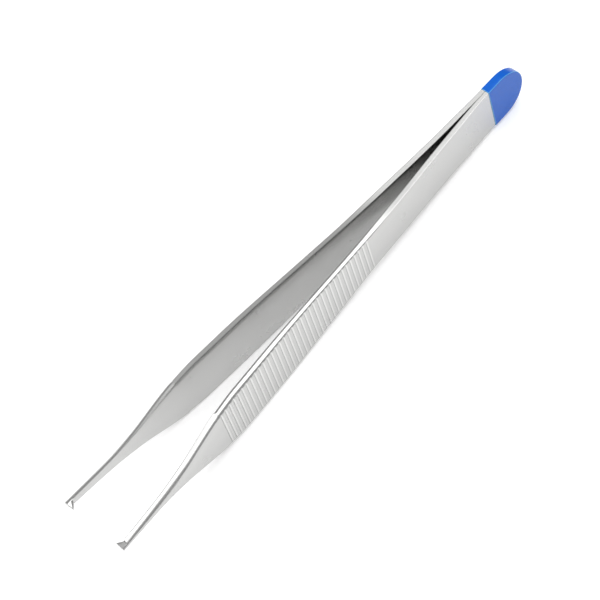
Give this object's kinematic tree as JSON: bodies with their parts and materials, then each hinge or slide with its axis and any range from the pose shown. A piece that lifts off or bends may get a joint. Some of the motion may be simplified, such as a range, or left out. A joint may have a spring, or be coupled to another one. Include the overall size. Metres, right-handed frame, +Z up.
{
  "type": "thumb forceps",
  "caption": "Thumb forceps of two sprung steel arms joined at a coated tail, with cross-grooved grips, slender beaks and interlocking teeth at the tips.",
  "frame": {"origin": "bottom centre of the forceps lying on its long edges: halfway along its length, on the seam between the two arms, at the level of the flat long edges that the grips rest on", "axes": "+X from the tail to the tips, +Y from the seam towards the arm with the single tooth (the direction the arms spring apart), +Z up, across the blades' width"},
  "size_m": [0.12, 0.0156, 0.0127],
  "materials": {
    "satin_steel": "satin stainless steel, finely blasted and brushed",
    "blue_coating": "glossy dipped or sprayed colour coat"
  },
  "bodies": {
    "root": {"arm_single_tooth": "satin_steel", "arm_double_tooth": "satin_steel", "tail_coating": "blue_coating"}
  },
  "joints": []
}
